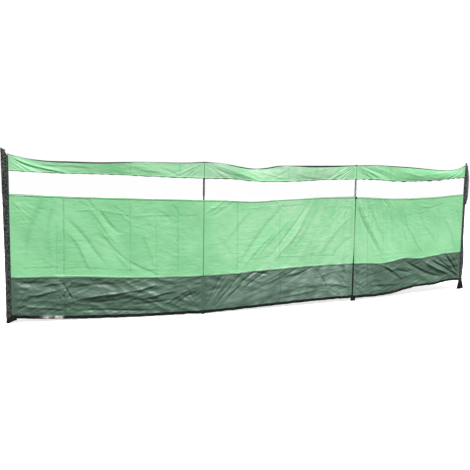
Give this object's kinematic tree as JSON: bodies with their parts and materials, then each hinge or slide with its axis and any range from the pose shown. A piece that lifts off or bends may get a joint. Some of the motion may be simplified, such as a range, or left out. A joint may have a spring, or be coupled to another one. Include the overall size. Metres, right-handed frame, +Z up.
{
  "type": "beach windbreak",
  "caption": "Staked beach windbreak: green sheet with a clear window strip, dark skirt and black end sleeves, carried in a shallow arc on slim steel poles.",
  "frame": {"origin": "centre of the first pole's foot, at ground level; the first pole is the left one seen from the front", "axes": "+X from the first pole to the last, +Z up, and the front of the sheet faces -Y"},
  "size_m": [4.5123, 0.2044, 1.355],
  "materials": {
    "light_green_cloth": "woven polyethylene tape cloth, thinly coated, slightly glossy",
    "dark_green_cloth": "woven polyethylene tape cloth, coated, glossy on its folds",
    "black_cloth": "coarse plain-woven sleeve cloth",
    "black_webbing": "matt woven tape",
    "clear_film": "soft clear PVC film, glossy, lightly rippled",
    "zinc_coated_steel": "drawn tube, zinc coated, dull grey",
    "black_plastic": "moulded, matt"
  },
  "bodies": {
    "root": {"pole_1": "zinc_coated_steel", "pole_foot_1": "black_plastic", "pole_cap_1": "black_plastic", "foot_tab_1": "black_webbing", "pole_2": "zinc_coated_steel", "pole_foot_2": "black_plastic", "pole_cap_2": "black_plastic", "foot_tab_2": "black_webbing", "pole_3": "zinc_coated_steel", "pole_foot_3": "black_plastic", "pole_cap_3": "black_plastic", "foot_tab_3": "black_webbing", "pole_4": "zinc_coated_steel", "pole_foot_4": "black_plastic", "pole_cap_4": "black_plastic", "foot_tab_4": "black_webbing", "top_binding_1": "black_webbing", "top_band_1": "light_green_cloth", "window_1": "clear_film", "main_panel_1": "light_green_cloth", "skirt_1": "dark_green_cloth", "hem_1": "black_webbing", "top_binding_2": "black_webbing", "top_band_2": "light_green_cloth", "window_2": "clear_film", "main_panel_2": "light_green_cloth", "skirt_2": "dark_green_cloth", "hem_2": "black_webbing", "top_binding_3": "black_webbing", "top_band_3": "light_green_cloth", "window_3": "clear_film", "main_panel_3": "light_green_cloth", "skirt_3": "dark_green_cloth", "hem_3": "black_webbing", "end_sleeve_left": "black_cloth", "end_sleeve_right": "black_cloth", "band_sleeve_2": "light_green_cloth", "panel_sleeve_2": "light_green_cloth", "skirt_sleeve_2": "dark_green_cloth", "band_sleeve_3": "light_green_cloth", "panel_sleeve_3": "light_green_cloth", "skirt_sleeve_3": "dark_green_cloth"}
  },
  "joints": []
}
